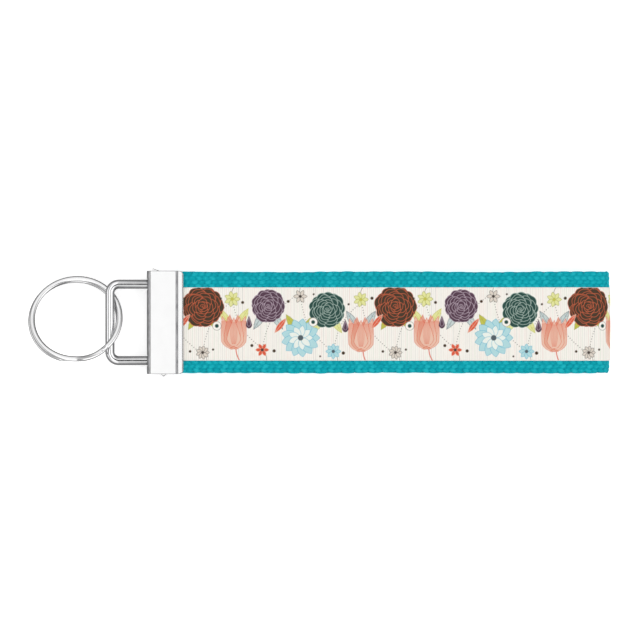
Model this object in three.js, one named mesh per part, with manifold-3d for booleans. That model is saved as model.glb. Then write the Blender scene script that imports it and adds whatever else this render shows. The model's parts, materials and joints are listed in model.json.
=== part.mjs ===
// Wristlet keychain: a folded webbing strap with a printed ribbon sewn along it, a toothed metal
// clamp on its cut ends, a wire bail hinged in the clamp and a split ring on the bail.
//
// Millimetres, +Z up. The keychain lies flat: +X runs to the fold of the strap, +Y across it, and
// the origin is the middle of the underside of the whole object.

import * as THREE from 'three';
import { mergeVertices } from 'three/addons/utils/BufferGeometryUtils.js';
import Module from 'manifold-3d';

const wasm = await Module();
wasm.setup();

// ---- Driving dimensions ------------------------------------------------------------------------

const OVERALL_LENGTH = 181;

// Strap: 1 1/4 inch webbing folded in half, ribbon on the outside of the loop.
const WEBBING_WIDTH = 31.75;
const WEBBING_THICK = 1.6;
const RIBBON_WIDTH = 22.8;
const RIBBON_THICK = 0.35;
const RIBBON_SHIFT = -0.5; // the ribbon is sewn a little off centre
const SEWN_GAP = 0.05; // between the ribbon and the webbing
const FOLD_RADIUS = 3.15; // inside of the fold, and half of the gap between the leaves there
const CLOSED_GAP = 0.05; // half of the gap between the leaves where the clamp shuts them

// Stitching along both edges of the ribbon, sunk into it.
const THREAD_WIDTH = 0.4;
const THREAD_THICK = 0.15;
const THREAD_INSET = 0.5; // from the edge of the ribbon
const THREAD_CLEAR = 0.03;
const THREAD_SUNK = 0.02; // below the face of the ribbon

// Clamp: one U of sheet steel with a pressed lip and teeth.
const CLAMP_LENGTH = 11.4;
const CLAMP_WIDTH = 32.1;
const CLAMP_HALF_HEIGHT = 3.15;
const PLATE_THICK = 1.0;
const BEND_RADIUS = 1.5;
const LIP_STEP = 0.3; // the lip lies this much lower than the plate
const LIP_EDGE_RADIUS = 0.4;
const LIP_CORNER_RADIUS = 1.3;
const GROOVE_AT = 9.4;
const GROOVE_HALF_WIDTH = 0.3;
const GROOVE_DEPTH = 0.35;
// Tabs on the sides of the rear plate: distance from the spine, reach beyond the side.
const TAB_REACH = 0.9;
const POINTED_TAB = [[3.9, 0], [5.0, TAB_REACH], [6.1, 0]];
const HOOKED_TAB = [[3.9, 0], [3.6, 0.15], [1.5, TAB_REACH], [1.4, 0]];
const TOOTH_AT = 10.4;
const TOOTH_HEIGHT = 0.5;
const TOOTH_ROOT = 0.05; // how far a tooth reaches into its plate
const TOOTH_WIDTH = 1.4;
const TOOTH_PITCH = 2.3;
const TOOTH_COUNT = 13;
const STRAP_IN_CLAMP = 6.8; // how far the strap reaches behind the clamp's mouth
const WAIST = 0.45; // how much the teeth squeeze each leaf
const WAIST_REACH = 1.3;

// Bail: a rectangle of round wire, hinged inside the clamp's bend.
const WIRE = 2.9;
const BAIL_SPAN = 23.8; // between the middles of its arms
const BAIL_REACH = 14.28; // from the hinge to the middle of its free bar
const BAIL_TILT = THREE.MathUtils.degToRad(7.77);
const BAIL_OUTER_CORNER = 2.75;
const BAIL_HIDDEN_CORNER = 2.0;
const BAIL_BUTT_GAP = 0.4; // between the wire's two cut ends
const HINGE_FROM_SPINE = 2.65;
const SLOT_DEPTH = 1.5;
const SLOT_WIDTH = 3.5;
const SLOT_HALF_HEIGHT = 2.4;
const SLOT_FROM_MIDDLE = 11.85;

// Split ring: two turns of flat wire.
const RING_RADIUS = 14.5;
const RING_WIRE_WIDTH = 1.7;
const RING_WIRE_THICK = 1.0;
const RING_WIRE_CHAMFER = 0.2;
const RING_LAYER = 0.53; // from the ring's middle plane to the middle of each turn
const RING_TILT = THREE.MathUtils.degToRad(24); // the +Y side is the low one
const RING_Y = 1.0;
const RING_TURNS = { start: -52, joggleFrom: 265, joggleTo: 305, end: 622 }; // degrees
const RING_TAPER = 10; // degrees over which each cut end thins
const RING_TIP_THICK = 0.45; // share of its thickness that a cut end keeps

// Where the strap bends, along X.
const WRIST_X = -38; // the whole strap, just outside the clamp
const ROOT_X = -29; // the leaves part
const KNEE_X = 9;
const ELBOW_X = 47.35;
const FLAT_X = 78; // from here to the fold the leaves are parallel
const WRIST_GAP = 0.8; // on each side of the wrist
const BEND_GAP = 0.35; // on each side of the other bends
const TIP_FROM = 54; // degrees of the fold that the tips cover, 0 at its far end
const TIP_TO = 0.7;

const CUT_CLEAR = 1; // how far a cutting solid reaches past what it cuts

// ---- Worked out from them ----------------------------------------------------------------------

const LEAF_THICK = WEBBING_THICK + SEWN_GAP + RIBBON_THICK;
const MID_Z = FOLD_RADIUS + LEAF_THICK;
const FOLD_X = OVERALL_LENGTH / 2 - MID_Z;
const RING_X = RING_RADIUS - OVERALL_LENGTH / 2;
const SPINE_X = -54;
const MOUTH_X = SPINE_X + CLAMP_LENGTH;
const STRAP_END_X = MOUTH_X - STRAP_IN_CLAMP;
const HINGE_X = SPINE_X + HINGE_FROM_SPINE;
const RING_Z = MID_Z + BAIL_REACH * Math.sin(BAIL_TILT);

// ---- Solids ------------------------------------------------------------------------------------

// Keeps only the positions, merges equal corners and turns every face outwards.
function closed(geometry) {
  geometry.deleteAttribute('normal');
  geometry.deleteAttribute('uv');
  const merged = mergeVertices(geometry, 1e-5);
  const product = new THREE.Vector3();
  const corners = [0, 1, 2].map(() => new THREE.Vector3());
  const index = merged.index.array;
  let volume = 0;
  for (let i = 0; i < index.length; i += 3) {
    corners.forEach((vector, k) => vector.fromBufferAttribute(merged.attributes.position, index[i + k]));
    volume += corners[0].dot(product.crossVectors(corners[1], corners[2]));
  }
  if (volume < 0) {
    for (let i = 0; i < index.length; i += 3) {
      [index[i], index[i + 1]] = [index[i + 1], index[i]];
    }
  }
  merged.computeVertexNormals();
  return merged;
}

// Carries a section through frames. A frame places the section's x along `across` and its y along
// `up`, both from `origin`.
function sweep(section, frames) {
  const steps = frames.length - 1;
  const geometry = new THREE.ExtrudeGeometry(section, { depth: steps, steps, bevelEnabled: false });
  const position = geometry.attributes.position;
  const point = new THREE.Vector3();
  for (let i = 0; i < position.count; i += 1) {
    const { origin, across, up } = frames[Math.round(position.getZ(i))];
    point.copy(origin);
    point.addScaledVector(across, position.getX(i));
    point.addScaledVector(up, position.getY(i));
    position.setXYZ(i, point.x, point.y, point.z);
  }
  return closed(geometry);
}

function polygon(points) {
  return new THREE.Shape(points.map(([x, y]) => new THREE.Vector2(x, y)));
}

function rectangle(xLow, xHigh, yLow, yHigh) {
  return polygon([[xLow, yLow], [xHigh, yLow], [xHigh, yHigh], [xLow, yHigh]]);
}

function spread(from, to, steps) {
  return Array.from({ length: steps + 1 }, (_, i) => THREE.MathUtils.lerp(from, to, i / steps));
}

function toSolid(geometry) {
  const merged = closed(geometry);
  const vertProperties = new Float32Array(merged.attributes.position.array);
  const triVerts = new Uint32Array(merged.index.array);
  return new wasm.Manifold(new wasm.Mesh({ numProp: 3, vertProperties, triVerts }));
}

function toGeometry(solid) {
  const { vertProperties, triVerts } = solid.getMesh();
  const geometry = new THREE.BufferGeometry();
  geometry.setAttribute('position', new THREE.BufferAttribute(vertProperties, 3));
  geometry.setIndex(new THREE.BufferAttribute(triVerts, 1));
  geometry.computeVertexNormals();
  return geometry;
}

// A prism standing on an XY outline.
function upright(outline, zLow, zHigh) {
  const geometry = new THREE.ExtrudeGeometry(outline, {
    depth: zHigh - zLow, bevelEnabled: false, curveSegments: 6,
  });
  return geometry.translate(0, 0, zLow);
}

// A prism lying along Y, from an XZ outline.
function lengthwise(outline, yLow, yHigh) {
  const geometry = new THREE.ExtrudeGeometry(outline, {
    depth: yHigh - yLow, bevelEnabled: false, curveSegments: 6,
  });
  return geometry.rotateX(Math.PI / 2).translate(0, yHigh, 0);
}

// ---- Clamp -------------------------------------------------------------------------------------
// Built with its spine at x = 0 and its middle plane at z = 0, then put in place.

function clampProfile() {
  const length = CLAMP_LENGTH;
  const high = CLAMP_HALF_HEIGHT;
  const inner = high - PLATE_THICK;
  const lip = high - LIP_STEP;
  const inside = BEND_RADIUS - PLATE_THICK;
  const quarter = Math.PI / 2;
  const shape = new THREE.Shape();
  shape.moveTo(length, inner);
  shape.lineTo(length, lip - LIP_EDGE_RADIUS);
  shape.absarc(length - LIP_EDGE_RADIUS, lip - LIP_EDGE_RADIUS, LIP_EDGE_RADIUS, 0, quarter);
  shape.lineTo(GROOVE_AT + GROOVE_HALF_WIDTH, lip);
  shape.lineTo(GROOVE_AT, lip - GROOVE_DEPTH);
  shape.lineTo(GROOVE_AT - GROOVE_HALF_WIDTH, high);
  shape.absarc(BEND_RADIUS, high - BEND_RADIUS, BEND_RADIUS, quarter, 2 * quarter);
  shape.absarc(BEND_RADIUS, BEND_RADIUS - high, BEND_RADIUS, 2 * quarter, 3 * quarter);
  shape.lineTo(GROOVE_AT - GROOVE_HALF_WIDTH, -high);
  shape.lineTo(GROOVE_AT, GROOVE_DEPTH - lip);
  shape.lineTo(GROOVE_AT + GROOVE_HALF_WIDTH, -lip);
  shape.absarc(length - LIP_EDGE_RADIUS, LIP_EDGE_RADIUS - lip, LIP_EDGE_RADIUS, -quarter, 0);
  shape.lineTo(length, -inner);
  shape.absarc(PLATE_THICK + inside, inside - inner, inside, 3 * quarter, 2 * quarter, true);
  shape.absarc(PLATE_THICK + inside, inner - inside, inside, 2 * quarter, quarter, true);
  return shape;
}

// The plate seen from above. The rear plate also has a hooked tab on one side and a pointed one on
// the other, left from locking the two jaws together.
function platePlan(withTabs) {
  const side = CLAMP_WIDTH / 2;
  const corner = LIP_CORNER_RADIUS;
  const shape = new THREE.Shape();
  shape.moveTo(-CUT_CLEAR, side);
  shape.lineTo(-CUT_CLEAR, -side);
  if (withTabs) {
    POINTED_TAB.forEach(([x, reach]) => shape.lineTo(x, -side - reach));
  }
  shape.absarc(CLAMP_LENGTH - corner, corner - side, corner, -Math.PI / 2, 0);
  shape.absarc(CLAMP_LENGTH - corner, side - corner, corner, 0, Math.PI / 2);
  if (withTabs) {
    HOOKED_TAB.forEach(([x, reach]) => shape.lineTo(x, side + reach));
  }
  return shape;
}

function makeClamp() {
  const high = CLAMP_HALF_HEIGHT;
  const reach = CLAMP_WIDTH / 2 + TAB_REACH + CUT_CLEAR;
  const front = toSolid(upright(platePlan(false), 0, high + CUT_CLEAR));
  const rear = toSolid(upright(platePlan(true), -high - CUT_CLEAR, 0));
  let solid = toSolid(lengthwise(clampProfile(), -reach, reach)).intersect(front.add(rear));

  for (const side of [-1, 1]) {
    const slot = new THREE.BoxGeometry(2 * SLOT_DEPTH, SLOT_WIDTH, 2 * SLOT_HALF_HEIGHT);
    slot.translate(0, side * SLOT_FROM_MIDDLE, 0);
    solid = solid.subtract(toSolid(slot));
  }

  const jaw = high - PLATE_THICK;
  const bite = TOOTH_HEIGHT;
  for (const side of [-1, 1]) {
    const tooth = polygon([
      [TOOTH_AT - bite, side * (jaw + TOOTH_ROOT)],
      [TOOTH_AT + bite, side * (jaw + TOOTH_ROOT)],
      [TOOTH_AT, side * (jaw - bite)],
    ]);
    for (let i = 0; i < TOOTH_COUNT; i += 1) {
      const y = (i - (TOOTH_COUNT - 1) / 2) * TOOTH_PITCH;
      solid = solid.add(toSolid(lengthwise(tooth, y - TOOTH_WIDTH / 2, y + TOOTH_WIDTH / 2)));
    }
  }
  return toGeometry(solid).translate(SPINE_X, 0, MID_Z);
}

// ---- Bail --------------------------------------------------------------------------------------

// The wire's centre line in the bail's own plane: `out` from the hinge, `y` across.
function bailLine() {
  const half = BAIL_SPAN / 2;
  const line = [{ out: 0, y: BAIL_BUTT_GAP / 2 }];
  const bend = (out, y, radius, from, to) => spread(from, to, 6).forEach((degrees) => {
    const angle = THREE.MathUtils.degToRad(degrees);
    line.push({ out: out + radius * Math.cos(angle), y: y + radius * Math.sin(angle) });
  });
  const near = BAIL_HIDDEN_CORNER;
  const far = BAIL_OUTER_CORNER;
  bend(near, half - near, near, 180, 90);
  bend(BAIL_REACH - far, half - far, far, 90, 0);
  bend(BAIL_REACH - far, far - half, far, 0, -90);
  bend(near, near - half, near, -90, -180);
  line.push({ out: 0, y: -BAIL_BUTT_GAP / 2 });
  return line;
}

function makeBail() {
  const outward = new THREE.Vector3(-Math.cos(BAIL_TILT), 0, Math.sin(BAIL_TILT));
  const normal = new THREE.Vector3(Math.sin(BAIL_TILT), 0, Math.cos(BAIL_TILT));
  const points = bailLine().map(({ out, y }) => new THREE.Vector3(HINGE_X, y, MID_Z)
    .addScaledVector(outward, out));
  const frames = points.map((origin, i) => {
    const before = points[Math.max(i - 1, 0)];
    const after = points[Math.min(i + 1, points.length - 1)];
    const along = new THREE.Vector3().subVectors(after, origin).normalize();
    const behind = new THREE.Vector3().subVectors(origin, before).normalize();
    along.add(behind).normalize();
    return { origin, across: new THREE.Vector3().crossVectors(normal, along), up: normal };
  });
  const sides = 12;
  const section = polygon(spread(0, 2 * Math.PI, sides).slice(0, sides).map((angle) => [
    WIRE / 2 * Math.cos(angle), WIRE / 2 * Math.sin(angle),
  ]));
  return sweep(section, frames);
}

// ---- Split ring --------------------------------------------------------------------------------

function makeRing() {
  const { start, joggleFrom, joggleTo, end } = RING_TURNS;
  const xAxis = new THREE.Vector3(1, 0, 0);
  const yAxis = new THREE.Vector3(0, Math.cos(RING_TILT), -Math.sin(RING_TILT));
  const normal = new THREE.Vector3(0, Math.sin(RING_TILT), Math.cos(RING_TILT));
  const middle = RING_RADIUS - RING_WIRE_WIDTH / 2;
  const frames = spread(start, end, 92).map((degrees) => {
    const angle = THREE.MathUtils.degToRad(degrees);
    const across = new THREE.Vector3()
      .addScaledVector(xAxis, Math.cos(angle))
      .addScaledVector(yAxis, Math.sin(angle));
    const layer = RING_LAYER * (1 - 2 * THREE.MathUtils.smoothstep(degrees, joggleFrom, joggleTo));
    const toEnd = Math.min(degrees - start, end - degrees);
    const thickness = THREE.MathUtils.lerp(RING_TIP_THICK, 1, Math.min(toEnd / RING_TAPER, 1));
    const origin = new THREE.Vector3(RING_X, RING_Y, RING_Z)
      .addScaledVector(across, middle)
      .addScaledVector(normal, layer);
    return { origin, across, up: normal.clone().multiplyScalar(thickness) };
  });
  const wide = RING_WIRE_WIDTH / 2;
  const high = RING_WIRE_THICK / 2;
  const cut = RING_WIRE_CHAMFER;
  const section = polygon([
    [wide, high - cut], [wide - cut, high], [cut - wide, high], [-wide, high - cut],
    [-wide, cut - high], [cut - wide, -high], [wide - cut, -high], [wide, cut - high],
  ]);
  return sweep(section, frames);
}

// ---- Strap -------------------------------------------------------------------------------------

// Half of the gap between the leaves.
function halfGap(x) {
  const rise = THREE.MathUtils.smoothstep(x, MOUTH_X, FLAT_X);
  return THREE.MathUtils.lerp(CLOSED_GAP, FOLD_RADIUS, rise);
}

// How far the clamp's teeth thin a leaf, as a share of its thickness.
function squeeze(x) {
  const away = Math.abs(x - SPINE_X - TOOTH_AT) / WAIST_REACH;
  const bite = away < 1 ? WAIST * (1 + Math.cos(Math.PI * away)) / 2 : 0;
  return 1 - bite / LEAF_THICK;
}

// Frames of a leaf: the section's x lies along Y and its y is the height above the inner face.
function flatFrames(xs, side) {
  return xs.map((x) => ({
    origin: new THREE.Vector3(x, 0, MID_Z + side * halfGap(x)),
    across: new THREE.Vector3(0, 1, 0),
    up: new THREE.Vector3(0, 0, side * squeeze(x)),
  }));
}

function foldFrames(side) {
  return spread(TIP_FROM, TIP_TO, 6).map((degrees) => {
    const angle = THREE.MathUtils.degToRad(degrees);
    const up = new THREE.Vector3(Math.cos(angle), 0, side * Math.sin(angle));
    const origin = new THREE.Vector3(FOLD_X, 0, MID_Z).addScaledVector(up, FOLD_RADIUS);
    return { origin, across: new THREE.Vector3(0, 1, 0), up };
  });
}

const threadRows = [-1, 1].map((side) => RIBBON_SHIFT + side * (RIBBON_WIDTH / 2 - THREAD_INSET));

// The ribbon's section, with a channel for each row of stitching.
function ribbonSection() {
  const low = WEBBING_THICK + SEWN_GAP;
  const floor = LEAF_THICK - THREAD_SUNK - THREAD_THICK - THREAD_CLEAR;
  const half = THREAD_WIDTH / 2 + THREAD_CLEAR;
  const left = RIBBON_SHIFT - RIBBON_WIDTH / 2;
  const right = RIBBON_SHIFT + RIBBON_WIDTH / 2;
  const channels = [...threadRows].reverse().flatMap((row) => [
    [row + half, LEAF_THICK], [row + half, floor], [row - half, floor], [row - half, LEAF_THICK],
  ]);
  return polygon([[left, low], [right, low], [right, LEAF_THICK], ...channels, [left, LEAF_THICK]]);
}

function threadSection(row) {
  const high = LEAF_THICK - THREAD_SUNK;
  return rectangle(row - THREAD_WIDTH / 2, row + THREAD_WIDTH / 2, high - THREAD_THICK, high);
}

const strapSections = {
  webbing: rectangle(-WEBBING_WIDTH / 2, WEBBING_WIDTH / 2, 0, WEBBING_THICK),
  ribbon: ribbonSection(),
  thread_right: threadSection(threadRows[0]),
  thread_left: threadSection(threadRows[1]),
};

const stretches = {
  end: spread(STRAP_END_X, WRIST_X - WRIST_GAP, 16),
  base: spread(WRIST_X + WRIST_GAP, ROOT_X - BEND_GAP, 2),
  near: spread(ROOT_X + BEND_GAP, KNEE_X - BEND_GAP, 6),
  mid: spread(KNEE_X + BEND_GAP, ELBOW_X - BEND_GAP, 6),
  far: [...spread(ELBOW_X + BEND_GAP, FLAT_X, 5), FOLD_X],
};

// ---- Materials and assembly --------------------------------------------------------------------

const nickel = new THREE.MeshStandardMaterial({ color: '#dfe1e2', roughness: 0.18, metalness: 1 });
const strapMaterials = {
  webbing: new THREE.MeshStandardMaterial({ color: '#109da8', roughness: 0.85, metalness: 0 }),
  ribbon: new THREE.MeshStandardMaterial({ color: '#eeebde', roughness: 0.6, metalness: 0 }),
  thread: new THREE.MeshStandardMaterial({ color: '#f2f0ea', roughness: 0.7, metalness: 0 }),
};

const keychain = new THREE.Group();

function add(name, geometry, material) {
  const mesh = new THREE.Mesh(geometry, material);
  mesh.name = name;
  keychain.add(mesh);
}

add('split_ring', makeRing(), nickel);
add('bail', makeBail(), nickel);
add('clamp', makeClamp(), nickel);

for (const [leaf, side] of [['upper', 1], ['lower', -1]]) {
  const frames = { tip: foldFrames(side) };
  for (const [stretch, xs] of Object.entries(stretches)) {
    frames[stretch] = flatFrames(xs, side);
  }
  for (const [stretch, places] of Object.entries(frames)) {
    for (const [layer, section] of Object.entries(strapSections)) {
      const material = strapMaterials[layer.split('_')[0]];
      add(`${leaf}_${stretch}_${layer}`, sweep(section, places), material);
    }
  }
}

export default keychain;
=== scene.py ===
"""Looks of the wristlet keychain: plated metal, woven webbing, printed ribbon and its stitching."""

import json
import math
from collections import namedtuple

import bmesh
import bpy
import numpy as np
from mathutils import Matrix, Vector


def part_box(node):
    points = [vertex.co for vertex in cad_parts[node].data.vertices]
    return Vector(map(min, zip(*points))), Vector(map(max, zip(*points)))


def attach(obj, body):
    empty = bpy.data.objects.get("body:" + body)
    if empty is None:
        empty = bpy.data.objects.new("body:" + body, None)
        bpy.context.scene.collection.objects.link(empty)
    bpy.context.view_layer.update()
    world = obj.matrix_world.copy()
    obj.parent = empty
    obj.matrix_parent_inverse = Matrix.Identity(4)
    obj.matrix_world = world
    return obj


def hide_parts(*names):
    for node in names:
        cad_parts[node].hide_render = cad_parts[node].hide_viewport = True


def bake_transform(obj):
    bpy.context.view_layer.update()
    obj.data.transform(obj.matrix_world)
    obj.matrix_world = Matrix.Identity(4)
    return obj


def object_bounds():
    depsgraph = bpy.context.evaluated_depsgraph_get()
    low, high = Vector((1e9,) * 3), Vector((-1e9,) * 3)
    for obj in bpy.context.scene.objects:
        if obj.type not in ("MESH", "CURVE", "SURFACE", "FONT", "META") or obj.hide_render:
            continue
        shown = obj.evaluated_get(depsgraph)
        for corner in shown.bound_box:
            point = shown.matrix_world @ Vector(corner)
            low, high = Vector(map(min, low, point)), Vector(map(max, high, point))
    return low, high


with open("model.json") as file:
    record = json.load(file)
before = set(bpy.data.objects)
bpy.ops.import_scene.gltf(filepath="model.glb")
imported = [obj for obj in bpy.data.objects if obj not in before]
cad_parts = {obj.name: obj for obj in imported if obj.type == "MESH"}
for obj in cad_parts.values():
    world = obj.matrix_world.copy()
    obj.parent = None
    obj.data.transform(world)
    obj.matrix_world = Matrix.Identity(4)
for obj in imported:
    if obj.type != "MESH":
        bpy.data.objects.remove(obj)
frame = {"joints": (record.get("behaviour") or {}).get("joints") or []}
cad_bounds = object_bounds()

MM = 0.001

# ---- Places and sizes that the frame gives -----------------------------------------------------

pivot = {joint["name"]: Vector(joint["pos_m"]) for joint in frame["joints"]}
clamp_low, clamp_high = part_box("clamp")
MID_Z = (clamp_low.z + clamp_high.z) / 2
SPINE_X, MOUTH_X = clamp_low.x, clamp_high.x
FOLD_X = pivot["upper_tip_bend"].x
STRAP_END_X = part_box("upper_end_webbing")[0].x
CLOSED_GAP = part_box("upper_end_webbing")[0].z - MID_Z
WEBBING_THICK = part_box("upper_end_webbing")[1].z - MID_Z - CLOSED_GAP
LEAF_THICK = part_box("upper_end_ribbon")[1].z - MID_Z - CLOSED_GAP
FOLD_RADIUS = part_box("upper_far_webbing")[1].z - MID_Z - WEBBING_THICK
WEBBING_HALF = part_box("upper_end_webbing")[1].y
RIBBON_LOW, RIBBON_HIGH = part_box("upper_mid_ribbon")[0].y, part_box("upper_mid_ribbon")[1].y
ribbon_middle = (RIBBON_LOW + RIBBON_HIGH) / 2
THREAD_NODES = ("thread_right", "thread_left")
THREAD_ROWS = [
    (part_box(f"upper_mid_{row}")[0].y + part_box(f"upper_mid_{row}")[1].y) / 2
    for row in THREAD_NODES
]

# ---- The strap's own sizes ---------------------------------------------------------------------

FLAT_X = 78 * MM  # from here to the fold the two leaves are parallel
FOLD_OUTER = FOLD_RADIUS + LEAF_THICK
APEX = FOLD_X + math.pi / 2 * FOLD_OUTER  # run of the fold's far end, measured along the ribbon
RIBBON_UNDER = 1.64 * MM  # depth of the ribbon's underside
TOOTH_X = SPINE_X + 10.4 * MM
WAIST = 0.45 * MM  # how much the clamp's teeth thin each leaf
WAIST_REACH = 1.3 * MM

FOLD_TURN = 2.5 * MM  # half the distance over which a leaf turns at the fold
HAIR = 0.01 * MM  # what each leaf stops short of the other at the fold's far end

# Each stretch of a leaf crosses one joint: the run at its end, the two bodies, where along X it
# starts to turn and where it has turned, and the CAD nodes that it stands for.
Stretch = namedtuple("Stretch", "name end bodies turn nodes")
STRETCHES = [
    Stretch("mouth", -33.3 * MM, ("clamp", "strap_base"), (-42.2 * MM, -33.8 * MM), ("end", "base")),
    Stretch("root", -10 * MM, ("strap_base", "near"), (-33 * MM, -19 * MM), ("near",)),
    Stretch("knee", 28.2 * MM, ("near", "mid"), (-9 * MM, 27 * MM), ("mid",)),
    Stretch("elbow", 66.4 * MM, ("mid", "far"), (29.5 * MM, 65.2 * MM), ("far",)),
    Stretch(
        "fold", APEX - HAIR, ("far", "tip"), (FOLD_X - FOLD_TURN, FOLD_X + FOLD_TURN), ("tip",)
    ),
]

ROW_PITCH = 1.25 * MM  # between the rows of yarn across the webbing
KNUCKLE = 2.1 * MM  # between the raised yarns along a row
KNUCKLE_REACH, KNUCKLE_BREADTH = 1.28 * MM, 0.88 * MM  # half sizes of a raised yarn
KNUCKLE_SLANT = 0.35  # how far a raised yarn leans along the strap, for each step across it
WEAVE_HEIGHT = 0.47 * MM
EVEN_BEAT = 0.16  # how much lower every second raised yarn is
WEAVE_SUNK, WEAVE_SUNK_INSIDE = 0.72, 1.05  # share of the weave's height that lies in the webbing
WEBBING_INSET = 0.12 * MM  # how far the webbing's plain form lies within its room
SELVEDGE_WANDER, WANDER_LENGTH = 0.09 * MM, 11.3 * MM
RIBBON_RAMP = 0.25 * MM  # the weave dies away over this at the ribbon's edges
WEBBING_EDGE = 0.74 * MM  # radius of the rounded selvedge
WEBBING_STEP = 0.24 * MM
WEBBING_INNER_STEP = 0.40 * MM  # across its inner face

PRINT_STEP = 0.13 * MM  # between the points that carry the ribbon's print
RIPPLE = 0.018 * MM  # height of the ribbon's slight unevenness
STITCH_DIP, DIP_REACH = 0.03 * MM, 0.3 * MM  # how the stitches pull the ribbon down
RIB_PITCH = 0.42  # between the ribbon's fine cross ribs, in millimetres
CLAMP_GROOVE = 9.4 * MM  # from the spine to the middle of the groove behind the lip
STITCH_PITCH = 2.7 * MM
STITCH_LENGTH = 2.35 * MM
STITCH_RADIUS = 0.055 * MM
STITCH_SUNK = 0.16 * MM  # how far its two ends go down into the ribbon
STITCH_WIDER, STITCH_FLATTER = 1.25, 0.8  # the thread's section, pressed against the ribbon
STITCH_OUTWARD = 0.33 * MM  # from the middle of a thread's room to its row of stitches
STITCH_ROWS = [row + math.copysign(STITCH_OUTWARD, row - ribbon_middle) for row in THREAD_ROWS]
PRINT_START = 0.4  # where the print's period begins, from the clamp's mouth, in millimetres


# ---- Mesh building -----------------------------------------------------------------------------


def smooth(t):
    t = np.clip(t, 0.0, 1.0)
    return t * t * (3 - 2 * t)


def new_object(name, points, faces, material, sharp=40):
    """A closed mesh with its faces out, smooth but for edges sharper than sharp degrees."""
    mesh = bpy.data.meshes.new(name)
    mesh.from_pydata([tuple(p) for p in points], [], faces)
    work = bmesh.new()
    work.from_mesh(mesh)
    bmesh.ops.recalc_face_normals(work, faces=work.faces)
    work.to_mesh(mesh)
    work.free()
    mesh.shade_smooth()
    mesh.set_sharp_from_angle(angle=math.radians(sharp))
    obj = bpy.data.objects.new(name, mesh)
    bpy.context.scene.collection.objects.link(obj)
    mesh.materials.append(material)
    return obj


def loft_faces(stations, around, start=0):
    """Quads between rings of points that close on themselves, with a cap at each end."""
    rings = np.arange(stations * around).reshape(stations, around) + start
    here, after = rings[:-1], rings[1:]
    quads = np.stack(
        [here, np.roll(here, -1, 1), np.roll(after, -1, 1), after], axis=-1
    ).reshape(-1, 4)
    return quads.tolist() + [rings[0][::-1].tolist(), rings[-1].tolist()]


def loft(name, rings, material, sharp=40):
    stations, around, _ = rings.shape
    return new_object(name, rings.reshape(-1, 3), loft_faces(stations, around), material, sharp)


def steps(start, end, spacing):
    """Evenly spaced values from start to end, about spacing apart."""
    return np.linspace(start, end, max(2, round(abs(end - start) / spacing) + 1))


def arc(x, y, radius, start, end, count=9):
    """Points of an arc about a centre, from one angle to another in degrees."""
    angles = np.radians(np.linspace(start, end, count))
    return [(x + radius * math.cos(a), y + radius * math.sin(a)) for a in angles]


def store(obj, name, kind, values):
    """Saves a value for each point of the mesh, for its material to read."""
    key = {"FLOAT": "value", "FLOAT_VECTOR": "vector", "FLOAT_COLOR": "color"}[kind]
    attribute = obj.data.attributes.new(name, kind, "POINT")
    attribute.data.foreach_set(key, np.asarray(values, np.float32).ravel())


# ---- Where the strap lies ----------------------------------------------------------------------


def squeeze(run):
    """Share of its thickness that a leaf keeps under the clamp's teeth."""
    away = np.clip(np.abs(run - TOOTH_X) / WAIST_REACH, 0, 1)
    return 1 - WAIST / LEAF_THICK * (1 + np.cos(np.pi * away)) / 2


def on_leaf(run, y, depth, side):
    """Points on a leaf. Run is x up to the fold and then goes round it, depth is the height over
    the leaf's inner face, and side is 1 for the upper leaf and -1 for the lower one."""
    rise = smooth((run - MOUTH_X) / (FLAT_X - MOUTH_X))
    gap = CLOSED_GAP + (FOLD_RADIUS - CLOSED_GAP) * rise
    turn = np.clip((run - FOLD_X) / FOLD_OUTER, 0, math.pi / 2)
    reach = depth * squeeze(run)
    x = np.minimum(run, FOLD_X) + (FOLD_RADIUS + reach) * np.sin(turn)
    x = np.where(turn > 0, x, run)
    z = MID_Z + side * (gap * np.cos(turn) + reach * np.cos(turn))
    return np.stack(np.broadcast_arrays(x, y, z), axis=-1)


def pattern_run(run, side):
    """Distance along the whole strap, on over the fold and back along the lower leaf."""
    return run if side > 0 else 2 * APEX - run


def settle(obj):
    """Bakes a piece of the strap's place into its mesh."""
    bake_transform(obj)


# ---- Materials ---------------------------------------------------------------------------------


def linear(*rgb):
    """Scene-linear colour of an 8-bit sRGB colour."""
    value = np.array(rgb, float) / 255
    return np.where(value <= 0.04045, value / 12.92, ((value + 0.055) / 1.055) ** 2.4)


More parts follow.
